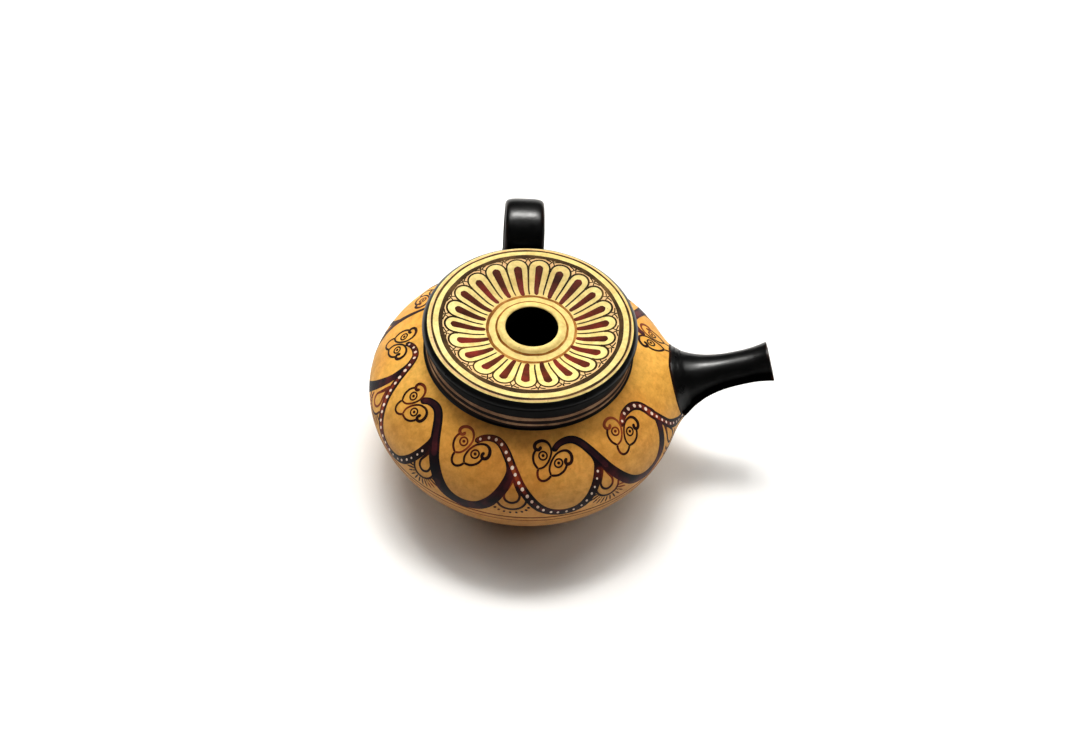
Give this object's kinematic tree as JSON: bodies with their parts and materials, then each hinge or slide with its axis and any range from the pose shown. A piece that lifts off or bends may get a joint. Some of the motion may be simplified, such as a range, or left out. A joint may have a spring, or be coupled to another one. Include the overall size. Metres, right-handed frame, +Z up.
{
  "type": "ceramic flask",
  "caption": "Squat painted earthenware flask with a round belly, a dished mouth plate with a filling hole, a slender side spout for pouring and an upright strap handle.",
  "frame": {"origin": "on the vessel's axis, on the flat underside of the foot", "axes": "+Z up along the vessel's axis, +X towards the spout, +Y towards the handle"},
  "size_m": [0.1449, 0.1209, 0.0711],
  "materials": {
    "clay": "burnished tan earthenware, satin",
    "pale_clay": "pale slipped earthenware, satin",
    "black_slip": "black slip, satin gloss",
    "dark_paint": "brush-drawn dark brown slip",
    "red_paint": "brush-drawn red-brown slip",
    "orange_paint": "thin orange-brown slip",
    "white_paint": "white slip dots"
  },
  "bodies": {
    "root": {"foot": "clay", "bowl": "clay", "shoulder": "clay", "collar": "black_slip", "mouth_plate": "pale_clay", "hole_ring": "pale_clay", "spout": "black_slip", "handle": "black_slip"}
  },
  "joints": []
}
